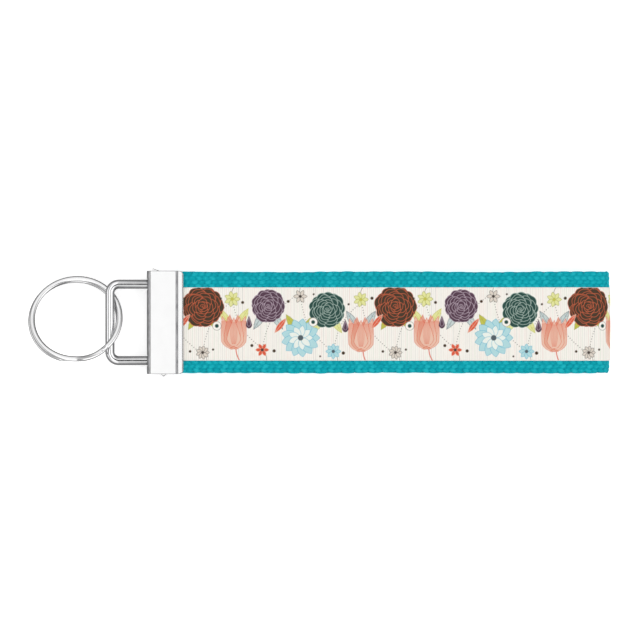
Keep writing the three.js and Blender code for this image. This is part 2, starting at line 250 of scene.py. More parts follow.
class Nodes:
    """Builds a node tree: a new material's, or one that is there."""

    def __init__(self, name, tree=None):
        if tree is None:
            self.material = bpy.data.materials.new(name)
            self.material.use_nodes = True
            tree = self.material.node_tree
            self.shader = tree.nodes["Principled BSDF"]
        self.tree = tree

    def add(self, kind, inputs=None, **settings):
        node = self.tree.nodes.new(kind)
        for key, value in settings.items():
            setattr(node, key, value)
        for key, value in (inputs or {}).items():
            self.put(node.inputs[key], value)
        return node

    def put(self, socket, value):
        if isinstance(value, bpy.types.NodeSocket):
            self.tree.links.new(value, socket)
        else:
            socket.default_value = value

    def set(self, **values):
        for key, value in values.items():
            self.put(self.shader.inputs[key.replace("_", " ")], value)

    def math(self, operation, a, b=0.5):
        return self.add("ShaderNodeMath", {0: a, 1: b}, operation=operation).outputs[0]

    def attribute(self, name, output):
        return self.add("ShaderNodeAttribute", attribute_name=name).outputs[output]

    def noise(self, vector, scale, detail=3.0, roughness=0.55):
        inputs = {"Vector": vector, "Scale": scale, "Detail": detail, "Roughness": roughness}
        return self.add("ShaderNodeTexNoise", inputs).outputs[0]

    def scaled(self, vector, scale):
        return self.add("ShaderNodeMapping", {"Vector": vector, "Scale": scale}).outputs[0]

    def span(self, value, low, high, to_low, to_high):
        inputs = {"Value": value, "From Min": low, "From Max": high}
        inputs |= {"To Min": to_low, "To Max": to_high}
        return self.add("ShaderNodeMapRange", inputs).outputs[0]

    def ramp(self, factor, stops):
        node = self.add("ShaderNodeValToRGB", {"Fac": factor})
        elements = node.color_ramp.elements
        while len(elements) < len(stops):
            elements.new(0.5)
        for element, (position, colour) in zip(elements, stops):
            element.position = position
            element.color = (*colour, 1)
        return node.outputs[0]

    def mix(self, factor, a, b, blend="MIX"):
        node = self.add("ShaderNodeMix", data_type="RGBA", blend_type=blend)
        self.put(node.inputs[0], factor)
        self.put(node.inputs[6], a)
        self.put(node.inputs[7], b)
        return node.outputs[2]

    def bump(self, height, distance, strength=1.0, normal=None):
        inputs = {"Height": height, "Distance": distance, "Strength": strength}
        if normal is not None:
            inputs["Normal"] = normal
        return self.add("ShaderNodeBump", inputs).outputs[0]


def plated(name, tint, roughness, scratch, shaded_bands=()):
    """Bright nickel plate with a faint haze, fine scratches and a slightly uneven skin. Within
    each shaded band, a middle x and a half width, it is rougher and painted greyer: painted shade."""
    made = Nodes(name)
    place = made.add("ShaderNodeTexCoord").outputs["Object"]
    haze = made.noise(place, 420, 4)
    fine = made.noise(made.scaled(place, scratch), 900, 5, 0.7)
    wave = made.noise(place, 110, 1.0)
    shade = made.ramp(haze, [(0.3, [c * 0.95 for c in tint]), (0.7, tint)])
    spread = made.span(haze, 0.35, 0.7, *roughness)
    # Painted shade: inside each band the plate's colour is greyed, with a streaky grain.
    for middle, reach in shaded_bands:
        x = made.add("ShaderNodeSeparateXYZ", {"Vector": place}).outputs[0]
        aside = made.math("ABSOLUTE", made.math("SUBTRACT", x, middle))
        painted_shade = made.span(aside, reach, reach + 0.12 * MM, 1, 0)
        grain = made.noise(made.scaled(place, (1, 0.3, 1)), 1500, 3)
        shaded_grey = made.ramp(grain, [(0.3, (0.30, 0.30, 0.31)), (0.7, (0.52, 0.52, 0.53))])
        shade = made.mix(painted_shade, shade, shaded_grey)
        spread = made.math("ADD", spread, made.math("MULTIPLY", painted_shade, 0.25))
    skin = made.bump(wave, 0.00010, 0.3)
    made.set(
        Base_Color=shade,
        Metallic=1.0,
        Roughness=spread,
        Normal=made.bump(fine, 0.00001, 0.4, skin),
    )
    return made.material


def woven_teal():
    """Dyed cotton yarn, twist and fibres; painted shade in the weave's pits, painted highlight on
    its knuckles.
    """
    made = Nodes("webbing_cotton")
    place = made.attribute("strap_place", "Vector")
    height = made.attribute("weave_height", "Fac")
    ply = made.noise(made.scaled(place, (1.1, 4.2, 1)), 1.0, 3.0, 0.6)
    fibre = made.noise(made.scaled(place, (2.4, 11.0, 1)), 1.0, 5.0, 0.7)
    patch = made.noise(made.scaled(place, (0.15, 0.3, 1)), 1.0, 2.0)
    # Painted light: the yarn's colour follows the weave's height, darker in the pits and lighter on
    # the knuckles.
    lit = made.math("ADD", height, made.math("MULTIPLY", made.math("SUBTRACT", ply, 0.5), 1.3))
    shade = made.ramp(
        lit,
        [
            (0.22, linear(0, 124, 138)),
            (0.46, linear(1, 151, 164)),
            (0.72, linear(7, 167, 178)),
            (0.98, linear(34, 187, 197)),
        ],
    )
    tinted = made.mix(made.math("MULTIPLY", patch, 0.3), shade, (*linear(2, 148, 172), 1))
    fuzz = made.bump(fibre, 0.00006, 0.6)
    made.set(
        Base_Color=tinted,
        Roughness=0.9,
        Normal=made.bump(ply, 0.00012, 0.7, fuzz),
    )
    made.shader.inputs["Sheen Weight"].default_value = 0.04
    made.shader.inputs["Sheen Roughness"].default_value = 0.5
    made.shader.inputs["Sheen Tint"].default_value = (0.3, 0.9, 1.0, 1)
    made.shader.inputs["Specular IOR Level"].default_value = 0.12
    return made.material


def printed_ribbon():
    """Fine cross-ribbed satin that carries the print."""
    made = Nodes("ribbon_satin")
    place = made.attribute("strap_place", "Vector")
    ink = made.attribute("print", "Color")
    along = made.add("ShaderNodeSeparateXYZ", {"Vector": place}).outputs[0]
    slub = made.noise(made.scaled(place, (6.0, 0.5, 1)), 1.0, 3.0, 0.6)
    yarn = made.ramp(slub, [(0.3, (0.95, 0.95, 0.95)), (0.7, (1, 1, 1))])
    weft = made.math("SINE", made.math("MULTIPLY", along, 2 * math.pi / RIB_PITCH), 0)
    rib = made.bump(weft, 0.00003, 0.4)
    made.set(
        Base_Color=made.mix(1.0, ink, yarn, "MULTIPLY"),
        Roughness=0.6,
        Normal=made.bump(slub, 0.00003, 0.3, rib),
    )
    made.shader.inputs["Sheen Weight"].default_value = 0.04
    made.shader.inputs["Specular IOR Level"].default_value = 0.3
    return made.material


def sewing_thread():
    """Off-white polyester thread with its twist, with painted shade in the twist's grooves."""
    made = Nodes("thread_polyester")
    place = made.attribute("strap_place", "Vector")
    twist = made.add(
        "ShaderNodeTexWave",
        {"Vector": place, "Scale": 1.5, "Distortion": 0.4},
        bands_direction="DIAGONAL",
    ).outputs[1]
    # Painted shade: the colour follows the twist's bump, darker in its grooves.
    shade = made.ramp(twist, [(0.0, linear(222, 218, 208)), (1.0, linear(247, 245, 239))])
    made.set(Base_Color=shade, Roughness=0.6, Normal=made.bump(twist, 0.00004, 0.6))
    return made.material


def pale_floor():
    made = Nodes("floor_white")
    made.set(Base_Color=(0.93, 0.93, 0.93, 1), Roughness=0.9)
    made.shader.inputs["Emission Color"].default_value = (1, 1, 1, 1)
    made.shader.inputs["Emission Strength"].default_value = 0.45
    made.shader.inputs["Specular IOR Level"].default_value = 0.1
    return made.material


ring_plate = plated("ring_plate", (0.73, 0.73, 0.735), (0.07, 0.13), (1, 1, 1))
bail_plate = plated("bail_plate", (0.75, 0.75, 0.76), (0.07, 0.14), (1, 0.2, 1))
clamp_plate = plated(
    "clamp_plate",
    (0.635, 0.635, 0.635),
    (0.10, 0.18),
    (0.25, 1, 1),
    # Painted shade bands: a dark reflection along the spine's bend, and shade in the groove behind
    # the lip.
    ((SPINE_X, 1.0 * MM), (SPINE_X + CLAMP_GROOVE, 0.10 * MM)),
)
webbing_cotton = woven_teal()
ribbon_satin = printed_ribbon()
thread_polyester = sewing_thread()


# ---- Webbing -----------------------------------------------------------------------------------

dice = np.random.default_rng(7)
LEFT_PICK = 24  # the left edge reads other rows of the unevenness than the right one
PICKS, BEATS = 64, 128  # rows, and yarns along each row, before the unevenness repeats
KNUCKLE_SIZE = dice.uniform(0.76, 1.1, (PICKS, BEATS))
KNUCKLE_SHIFT = dice.uniform(-0.15, 0.15, PICKS)


def webbing_section():
    """Points round the webbing: y, depth, outward y, outward depth, distance from the nearer
    selvedge, and 1 on the half that faces inwards."""
    radius = WEBBING_EDGE
    half = WEBBING_HALF - WEBBING_INSET
    flat = half - radius
    corner = math.pi / 2 * radius
    wall = WEBBING_THICK / 2 - radius
    margin = flat - 5.2 * MM
    upper_ys = np.concatenate([steps(0, margin, 1.6 * MM)[:-1], steps(margin, flat, 0.25 * MM)])
    rows = [(y, WEBBING_THICK, 0, 1, flat - y + corner + wall, 0) for y in upper_ys]
    for angle in np.radians(np.linspace(90, 0, 7))[1:]:
        c, s = math.cos(angle), math.sin(angle)
        outward = (c, s, radius * angle + wall, 0)
        rows.append((flat + radius * c, WEBBING_THICK - radius + radius * s, *outward))
    for angle in np.radians(np.linspace(0, 90, 7))[:-1]:
        c, s = math.cos(angle), math.sin(angle)
        outward = (c, -s, radius * angle + wall, 1)
        rows.append((flat + radius * c, radius - radius * s, *outward))
    lower_ys = steps(flat, 0, WEBBING_INNER_STEP)
    rows += [(y, 0, 0, -1, flat - y + corner + wall, 1) for y in lower_ys]
    right = np.array(rows, float)
    left = right[::-1][1:-1] * np.array([-1, 1, -1, 1, 1, 1])
    return np.concatenate([right, left]).T


def weave(run, across, inward, left):
    """Height of the weave: about 1 on its knuckles, where a yarn comes up, and less between."""
    nearest = np.floor(across / ROW_PITCH + 0.5).astype(int)
    height = np.zeros(np.broadcast_shapes(run.shape, across.shape))
    for row in (nearest - 1, nearest, nearest + 1):
        aside = across - row * ROW_PITCH
        pick = (row + LEFT_PICK * left) % PICKS
        stretch = np.where(row <= 0, 2.0, 1.0)  # the yarn round the selvedge floats twice as far
        beat = run / KNUCKLE / stretch + 0.5 * (row % 2) + 0.5 * inward + KNUCKLE_SHIFT[pick]
        number = np.floor(beat + 0.5).astype(int)
        lean = np.where(row % 2, KNUCKLE_SLANT, -KNUCKLE_SLANT) / stretch
        ahead = (beat - number) * KNUCKLE + lean * aside
        far = (ahead / KNUCKLE_REACH) ** 2 + (aside / KNUCKLE_BREADTH) ** 2
        beating = 1 - EVEN_BEAT * (number % 2)
        dome = np.sqrt(np.clip(1 - far, 0, 1)) * KNUCKLE_SIZE[pick, number % BEATS] * beating
        height = np.maximum(height, dome)
    return height


def make_webbing(leaf, side, start, stretch):
    y, depth, out_y, out_depth, across, inward = webbing_section()
    run = steps(start, stretch.end, WEBBING_STEP)[:, None]
    along = pattern_run(run, side)
    left = (y < 0).astype(int)
    height = weave(along, across[None, :], inward[None, :].astype(int), left[None, :])
    inside = smooth((y - RIBBON_LOW) / RIBBON_RAMP) * smooth((RIBBON_HIGH - y) / RIBBON_RAMP)
    under_ribbon = inside * (depth > WEBBING_THICK * 0.99)
    wander = SELVEDGE_WANDER * np.sin(along / WANDER_LENGTH + 1.7 * left) * (out_y != 0)
    sunk = np.where(inward > 0.5, WEAVE_SUNK_INSIDE, WEAVE_SUNK)
    lift = WEAVE_HEIGHT * (height - sunk) + wander
    lift = lift * (1 - under_ribbon) - WEBBING_INSET * under_ribbon
    points = on_leaf(run, y + out_y * lift, depth + out_depth * lift, side)
    obj = loft(f"{leaf}_{stretch.name}_webbing", points, webbing_cotton, 75)
    flat_place = np.stack(np.broadcast_arrays(along, across * (1 - 2 * left), inward * MM), -1)
    store(obj, "strap_place", "FLOAT_VECTOR", flat_place / MM)
    store(obj, "weave_height", "FLOAT", height)
    settle(obj)
    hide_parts(*(f"{leaf}_{node}_webbing" for node in stretch.nodes))


# ---- Print: plain blooms, leaves, dots and rings -----------------------------------------------

PERIOD = 60.0  # the print repeats this often along the ribbon; lengths here are in millimetres
SOFT = 0.12  # an edge of ink fades over this
GROUND = linear(249, 245, 237)
# Unprinted white, a little whiter than the ground: the selvedge's own white and a painted edge
# highlight.
SELVEDGE_AND_HIGHLIGHT, SELVEDGE_HIGHLIGHT_WIDTH = linear(252, 252, 250), 0.08
BROWN, RUST = linear(66, 47, 26), linear(212, 98, 62)
PLUM, LILAC = linear(82, 54, 72), linear(206, 186, 200)
PINE, MINT = linear(28, 70, 62), linear(196, 218, 206)
CORAL, BLUSH, ROSY = linear(220, 88, 58), linear(236, 194, 172), linear(228, 168, 144)
LIME, MOSS, LEMON = linear(196, 194, 78), linear(158, 160, 58), linear(228, 228, 156)
SKY, LAGOON, FROST = linear(178, 218, 222), linear(66, 176, 206), linear(236, 242, 234)
INK, ASH, SAND = linear(66, 56, 50), linear(128, 124, 116), linear(222, 212, 200)
MIST, SLATE = linear(200, 212, 210), linear(78, 92, 98)
BLOOMS = 6  # large blooms in each period
BLOOM_PITCH = PERIOD / BLOOMS
HIGH, LOW = 5.2, -3.6  # the two lines across the ribbon that the large blooms stand on
SMALL_AT = 8.3  # how far from the middle the small blooms stand
LEAF_COLOURS = [LIME, LEMON, MIST, LIME, LEMON, MIST]
LEAF_LINES = [MOSS, LIME, SLATE, MOSS, LIME, SLATE]
SMALL_COLOURS = [
    (SAND, INK, INK),
    (LEMON, MOSS, LIME),
    (CORAL, BLUSH, INK),
    (SAND, INK, INK),
    (SKY, LAGOON, SLATE),
    (LEMON, MOSS, LIME),
]
# From the back to the front: shift sideways, direction in degrees, length and colour.
TULIP_PETALS = [
    (0.9, 86, 11.0, ROSY),
    (-0.9, 94, 11.0, ROSY),
    (2.3, 75, 10.4, BLUSH),
    (-2.3, 105, 10.4, BLUSH),
    (1.2, 82, 9.8, BLUSH),
    (-1.2, 98, 9.8, ROSY),
    (0, 90, 9.0, BLUSH),
]
SPRIG_LINE = 0.13  # width of a leaf's outline and midrib
STRIPE_PITCH = 0.62
STRIPES = [
    linear(230, 206, 196),
    linear(206, 216, 196),
    linear(198, 196, 190),
    linear(220, 210, 198),
]


class Cloth:
    """A grid of points on the ribbon, and the colour that has been printed on each."""

    def __init__(self, along, across):
        self.along = along
        self.across = across
        self.colour = np.tile(GROUND, (len(along), len(across), 1))

    def stamp(self, at, reach, colour, shape, strength=1.0):
        """Prints colour where shape(x, y), a distance, is below 0, once in every period."""
        wide, tall = reach if isinstance(reach, tuple) else (reach, reach)
        x = (self.along - at[0] + PERIOD / 2) % PERIOD - PERIOD / 2
        y = self.across - at[1]
        rows = np.flatnonzero(np.abs(x) < wide)
        columns = np.flatnonzero(np.abs(y) < tall)
        if len(rows) and len(columns):
            grid = np.meshgrid(x[rows], y[columns], indexing="ij")
            cover = np.clip(0.5 - shape(*grid) / SOFT, 0, 1)[..., None] * strength
            patch = np.ix_(rows, columns)
            self.colour[patch] += (colour - self.colour[patch]) * cover


def disc(radius):
    return lambda x, y: np.hypot(x, y) - radius


def outline(shape, width):
    """A line of this width along a shape's edge."""
    return lambda x, y: np.abs(shape(x, y)) - width / 2


def shrunk(shape, by):
    """A shape with its edge moved in."""
    return lambda x, y: shape(x, y) + by


def turned(shape, degrees, away=0.0):
    """A shape moved away along x, then turned about the origin."""
    c, s = math.cos(math.radians(degrees)), math.sin(math.radians(degrees))
    return lambda x, y: shape(x * c + y * s - away, y * c - x * s)


def blade(length, width):
    """A leaf pointed at both ends, along x."""
    radius = (length**2 + width**2) / (4 * width)
    return lambda x, y: np.hypot(x, np.abs(y) + radius - width / 2) - radius


def drop(length, width):
    """A drop with its point at +x and a round end at -x."""

    def shape(x, y):
        t = np.clip(x / length + 0.5, 0, 1)
        edge = width / 2 * np.sqrt(np.clip(4 * t, 0, 1)) * (1 - t**1.6) * 1.12
        return np.maximum(np.abs(y) - edge, np.abs(x) - length / 2)

    return shape


def scalloped(radius, lobes, depth, spin):
    """A round shape with lobes; depth is how far the notches go in, as a share of the radius."""

    def shape(x, y):
        wave = np.abs(np.cos(lobes / 2 * np.arctan2(y, x) + spin))
        return np.hypot(x, y) - radius * (1 - depth + depth * wave)

    return shape


def stroke(points, width):
    """A line through points."""

    def shape(x, y):
        best = np.full(x.shape, 1e9)
        for (ax, ay), (bx, by) in zip(points, points[1:]):
            dx, dy = bx - ax, by - ay
            t = np.clip(((x - ax) * dx + (y - ay) * dy) / (dx * dx + dy * dy), 0, 1)
            best = np.minimum(best, np.hypot(x - ax - t * dx, y - ay - t * dy))
        return best - width / 2

    return shape


def bow(start, end, sag, count=8):
    """Points of a shallow curve from start to end."""
    (ax, ay), (bx, by) = start, end
    points = []
    for t in np.linspace(0, 1, count):
        side = math.sin(math.pi * t) * sag
        x = ax + (bx - ax) * t - (by - ay) * side
        y = ay + (by - ay) * t + (bx - ax) * side
        points.append((x, y))
    return points


def spiral(turns, radius):
    """Points of a spiral from the middle out."""
    ts = np.linspace(0, 1, int(14 * turns))
    angles = 2 * math.pi * turns * ts
    return [(radius * t * math.cos(a), radius * t * math.sin(a)) for t, a in zip(ts, angles)]


def pen(cloth, at, reach, colour, points, width):
    """A line through points given from at."""
    cloth.stamp(at, reach, colour, stroke(points, width))


def filled(cloth, at, reach, fill, line, shape, width):
    """A shape with an outline inside its edge."""
    cloth.stamp(at, reach, line, shape)
    cloth.stamp(at, reach, fill, shrunk(shape, width))


def beads(cloth, start, end, sag, gap, size, colour):
    """A dotted line."""
    for at in bow(start, end, sag, max(2, int(math.dist(start, end) / gap))):
        cloth.stamp(at, 0.6, colour, disc(size))


def pin_stripes(cloth):
    """Fine straight lines across the ribbon, in faint pink, green and grey."""
    pick = np.random.default_rng(11)
    count = round(PERIOD / STRIPE_PITCH)
    for k in range(count):
        place = (k + pick.uniform(-0.12, 0.12)) * PERIOD / count
        colour = STRIPES[pick.choice(len(STRIPES))]
        width = pick.uniform(0.07, 0.15)
        line = stroke([(0, -15), (0, 15)], width)
        cloth.stamp((place, 0), (0.5, 15), colour, line, pick.uniform(0.5, 1.0))


def rose(cloth, at, radius, fill, line, width, rings, seed):
    """A full bloom: overlapping petals from the outer ring to the heart."""
    pick = np.random.default_rng(seed)
    filled(cloth, at, radius * 1.1, fill, line, scalloped(radius, 13, 0.06, seed), width * 0.8)
    for ring in range(rings):
        share = 1 - (ring + 0.55) / (rings + 0.35)
        count = max(3, round(3 + 6.5 * share))
        for k in range(count):
            angle = 2 * math.pi * (k + 0.43 * ring + pick.uniform(-0.12, 0.12)) / count
            size = radius * (0.17 + 0.27 * share) * pick.uniform(0.92, 1.1)
            away = radius * 0.66 * share
            place = (at[0] + away * math.cos(angle), at[1] + away * math.sin(angle))
            petal = scalloped(size, pick.integers(3, 6), 0.09, pick.uniform(0, 3))
            filled(cloth, place, size * 1.2, fill, line, petal, width)
    pen(cloth, at, radius * 0.2, line, spiral(1.5, radius * 0.12), width)


def sprig(cloth, start, end, width, fill, line, ribs):
    """A leaf from start to end with a midrib and side ribs."""
    at = ((start[0] + end[0]) / 2, (start[1] + end[1]) / 2)
    length = math.dist(start, end)
    turn = math.degrees(math.atan2(end[1] - start[1], end[0] - start[0]))
    filled(cloth, at, length, fill, line, turned(blade(length, width), turn), SPRIG_LINE)
    midrib = stroke([(-length / 2, 0), (length / 2, 0)], SPRIG_LINE)
    cloth.stamp(at, length, line, turned(midrib, turn), 0.8)
    for k in range(ribs):
        x = length * (-0.36 + 0.62 * k / max(ribs - 1, 1))
        for up in (-1, 1):
            tip = (x + width * 0.32, up * width * 0.36)
            cloth.stamp(at, length, line, turned(stroke([(x, 0), tip], 0.08), turn), 0.7)


def daisy(cloth, at, radius, count, fill, line, heart):
    """An open bloom of pointed petals round a plain heart."""
    shape = blade(radius * 0.95, radius * 0.5)
    for k in range(count):
        petal = turned(shape, 360 / count * k, radius * 0.52)
        cloth.stamp(at, radius * 1.2, fill, petal)
        cloth.stamp(at, radius * 1.2, line, outline(petal, 0.12))
    cloth.stamp(at, radius, heart, disc(radius * 0.22))


def leaf_pair(cloth, at, lean, length, width, fill, line):
    """Two leaves that part from one point, each leaning this many degrees from straight up."""
    for side in (-1, 1):
        turn = math.radians(90 - side * lean)
        tip = (at[0] + length * math.cos(turn), at[1] + length * math.sin(turn))
        sprig(cloth, at, tip, width, fill, line, 4)


def tulip(cloth, at):
    """A closed bloom on a curved stem, drawn in thin lines."""
    x, y = at
    pen(cloth, at, 12, CORAL, bow((0.6, -4.6), (2.2, -9.6), -0.08), 0.3)
    for shift, degrees, length, fill in TULIP_PETALS:
        place = (x + shift, y)
        petal = turned(drop(length, 4.6), degrees)
        filled(cloth, place, 7, fill, CORAL, petal, 0.13)
        for k in np.linspace(-1.4, 1.4, 8):
            foot, head = (-length * 0.42, 0.4 * k), (length * 0.34, 0.45 * k)
            vein = stroke(bow(foot, head, 0.05 * k), 0.11)
            cloth.stamp(place, 7, CORAL, turned(vein, degrees), 0.7)


def print_motifs(cloth):
    """One period of the print: six large blooms, high and low in turn, and small things between."""
    pin_stripes(cloth)
    pick = np.random.default_rng(21)
    large, small = [], []
    for k in range(BLOOMS):
        x = BLOOM_PITCH * (k + 0.5)
        y, across = (LOW, SMALL_AT) if k % 2 else (HIGH, -SMALL_AT)
        large.append((x + pick.uniform(-1.1, 1.1), y + pick.uniform(-1.2, 1.2)))
        small.append((x + pick.uniform(-1.4, 1.4), across + pick.uniform(-0.7, 0.7)))

    # Dotted lines from each small bloom to the next, and a thin stem from it to the edge.
    for k, (x, y) in enumerate(small):
        onward = (x + BLOOM_PITCH, small[(k + 1) % BLOOMS][1])
        beads(cloth, (x, y), onward, 0.12 * (-1) ** k, 0.75, 0.13, INK)
        pen(cloth, (x, y), 6, ASH, bow((0, 0), (1.2, math.copysign(4.5, y)), 0.15), 0.15)

    # Leaves behind the large blooms: down from the high ones and up from the low ones.
    for (x, y), fill, line in zip(large, LEAF_COLOURS, LEAF_LINES):
        away = 180 if y > 0 else 0
        leaf_pair(cloth, (x, y), away + 32, 8.6, 2.5, fill, line)

    rose(cloth, large[0], 6.4, BROWN, RUST, 0.13, 7, 5)
    tulip(cloth, large[1])
    rose(cloth, large[2], 5.2, PLUM, LILAC, 0.1, 6, 2)
    daisy(cloth, large[3], 6.0, 13, SKY, LAGOON, LAGOON)
    daisy(cloth, large[3], 3.9, 9, FROST, LAGOON, SLATE)
    rose(cloth, large[4], 5.6, PINE, MINT, 0.1, 6, 9)
    tulip(cloth, large[5])

    # Across from each large bloom, a small one near the other edge, with a seed on each side.
    for at, (fill, line, heart) in zip(small, SMALL_COLOURS):
        daisy(cloth, at, pick.uniform(1.9, 2.7), pick.integers(6, 10), fill, line, heart)
        for side in (-1, 1):
            away = (side * pick.uniform(3.0, 4.2), pick.uniform(-1.6, 1.6))
            seed = (at[0] + away[0], at[1] + away[1])
            cloth.stamp(seed, 1, BROWN, disc(pick.uniform(0.3, 0.55)))

    # Between the large blooms, along the middle, a leaf, a ring or a bud in turn.
    for k in range(BLOOMS):
        x, y = at = (BLOOM_PITCH * k, 0.6 * (-1) ** k)
        if k % 3 == 0:
            sprig(cloth, (x - 2.0, y - 2.2), (x + 1.6, y + 2.4), 1.7, CORAL, BLUSH, 3)
        elif k % 3 == 1:
            filled(cloth, at, 2.2, GROUND, ASH, disc(1.4), 0.13)
            cloth.stamp(at, 2.2, PINE, disc(0.6))
        else:
            cloth.stamp(at, 3, PLUM, turned(drop(4.0, 2.0), 90))
            cloth.stamp(at, 3, LILAC, outline(turned(drop(2.6, 1.1), 90), 0.1))


# ---- Ribbon ------------------------------------------------------------------------------------


def ribbon_section():
    """Points round the ribbon: y and depth, and 1 on its printed face."""
    top = steps(RIBBON_LOW + 0.10 * MM, RIBBON_HIGH - 0.10 * MM, PRINT_STEP)
    rows = [(y, LEAF_THICK, 1) for y in top]
    rolled = [(0.03 * MM, 0.02 * MM), (0.0, 0.07 * MM)]  # in from the edge, and down from the top
    rows += [(RIBBON_HIGH - y, LEAF_THICK - z, 0) for y, z in rolled]
    rows += [(y, RIBBON_UNDER, 0) for y in steps(RIBBON_HIGH, RIBBON_LOW, 3.8 * MM)]
    rows += [(RIBBON_LOW + y, LEAF_THICK - z, 0) for y, z in reversed(rolled)]
    return np.array(rows, float).T


def stitch_dip(run, y, along):
    """How far the thread pulls the ribbon down between its holes, at the stitch rows."""
    beside = sum(np.exp(-(((y - row) / DIP_REACH) ** 2)) for row in STITCH_ROWS)
    pull = 0.55 + 0.45 * np.cos(2 * np.pi * along / STITCH_PITCH)
    return STITCH_DIP * beside * pull * (run > STRAP_END_X)


def make_ribbon(leaf, side, start, stretch):
    y, depth, printed = ribbon_section()
    run = steps(start, stretch.end, PRINT_STEP)[:, None]
    along = pattern_run(run, side)
    ripple = np.sin(along / (1.9 * MM)) * np.sin(y / (1.3 * MM) + along / (7 * MM))
    relief = RIPPLE * ripple
    sunk = stitch_dip(run, y, along) * printed
    across_run = np.broadcast_to(y, (len(run), len(y)))
    points = on_leaf(run, across_run, depth + (relief - sunk) * printed, side)
    obj = loft(f"{leaf}_{stretch.name}_ribbon", points, ribbon_satin, 50)

    from_mouth = (along[:, 0] - MOUTH_X) / MM - PRINT_START
    across = (y - ribbon_middle) / MM * side
    cloth = Cloth(from_mouth, across)
    print_motifs(cloth)
    # A thin strip along each edge is painted whiter: the unprinted selvedge and a painted highlight;
    # the sides and underside are unprinted.
    edge = np.abs(across) > (RIBBON_HIGH - RIBBON_LOW) / 2 / MM - SELVEDGE_HIGHLIGHT_WIDTH
    cloth.colour[:, edge | (printed < 0.5)] = SELVEDGE_AND_HIGHLIGHT
    ink = np.concatenate([cloth.colour, np.ones((*points.shape[:2], 1))], axis=-1)
    store(obj, "print", "FLOAT_COLOR", ink)
    place = np.stack(np.broadcast_arrays(from_mouth[:, None], across, 0.0), axis=-1)
    store(obj, "strap_place", "FLOAT_VECTOR", place)
    settle(obj)
    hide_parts(*(f"{leaf}_{node}_ribbon" for node in stretch.nodes))


# ---- Stitching ---------------------------------------------------------------------------------


def make_stitches(leaf, side, start, stretch):
    """Both rows of stitches on one stretch, each stitch a short arched thread."""
    end = stretch.end
    first = math.ceil(pattern_run(start, side) / STITCH_PITCH)
    last = math.floor(pattern_run(end, side) / STITCH_PITCH)
    angles = np.linspace(0, 2 * np.pi, 8, endpoint=False)
    along = np.linspace(-1, 1, 9)
    arch = np.sqrt(np.clip(1 - along**2, 0, 1))
    thick = STITCH_RADIUS * np.clip(1.25 * arch, 0.35, 1)
    points, places, faces = [], [], []
    for row in STITCH_ROWS:
        for number in range(min(first, last), max(first, last) + 1):
            middle = pattern_run((number + 0.5) * STITCH_PITCH, side)
            if not start <= middle < end:
                continue
            run = np.minimum(middle + along * STITCH_LENGTH / 2, APEX - 3 * HAIR)[:, None]
            y = row + thick[:, None] * STITCH_WIDER * np.cos(angles)
            above = thick[:, None] * np.sin(angles) * STITCH_FLATTER
            depth = LEAF_THICK + (arch[:, None] - 1) * STITCH_SUNK + above
            faces += loft_faces(len(along), len(angles), len(points) * along.size * angles.size)
            points.append(on_leaf(run, y, depth, side).reshape(-1, 3))
            around = np.broadcast_to(angles / math.pi, y.shape)
            length = np.broadcast_to(run / MM, y.shape)
            places.append(np.stack([length, around, 0 * y], -1).reshape(-1, 3))
    name = f"{leaf}_{stretch.name}_stitches"
    obj = new_object(name, np.concatenate(points), faces, thread_polyester, 80)
    store(obj, "strap_place", "FLOAT_VECTOR", np.concatenate(places))
    settle(obj)
    rows = [f"{leaf}_{node}_{row}" for node in stretch.nodes for row in THREAD_NODES]
    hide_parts(*rows)


# ---- Split ring --------------------------------------------------------------------------------


def make_ring():
    """Two turns of flattened wire: the upper one, a joggle, and the lower one."""
    radius, wide, thick = 14.5 * MM, 1.7 * MM, 1.0 * MM
    tilt = math.radians(24)
    first, last = -52, 622  # degrees round the ring at the wire's two ends
    joggle, joggle_length, taper = 265, 40, 9  # degrees
    half_layer = 0.525 * MM  # from the ring's middle plane to the middle of either turn
    out_of_line = 0.5 * MM  # how far the lower turn lies from under the upper one
    middle = Vector((cad_bounds[0].x + radius, 1.0 * MM, pivot["ring_swing"].z))
    degrees = steps(first, last, 1.2)
    angle = np.radians(degrees)[:, None]
    lower = smooth((degrees - joggle) / joggle_length)[:, None]
    layer = half_layer * (1 - 2 * lower)
    to_end = np.minimum(degrees - first, last - degrees)
    tip = smooth(to_end / taper)[:, None]
    section = np.linspace(0, 2 * np.pi, 20, endpoint=False)
    c, s = np.cos(section), np.sin(section)
    flat_x = wide / 2 * np.sign(c) * np.abs(c) ** 0.8 * (0.55 + 0.45 * tip)
    flat_z = thick / 2 * np.sign(s) * np.abs(s) ** 0.85 * (0.25 + 0.75 * tip)
    outer = radius - wide / 2 + flat_x
    z = layer + flat_z
    ring = np.stack([outer * np.cos(angle), outer * np.sin(angle), z], -1)
    y = ring[..., 1] * math.cos(tilt) + ring[..., 2] * math.sin(tilt)
    up = ring[..., 2] * math.cos(tilt) - ring[..., 1] * math.sin(tilt)
    points = np.stack([ring[..., 0] - out_of_line * lower, y, up], -1) + np.array(middle)
    obj = loft("split_ring_wire", points, ring_plate, 60)
    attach(obj, "split_ring")
    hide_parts("split_ring")


# ---- Bail --------------------------------------------------------------------------------------


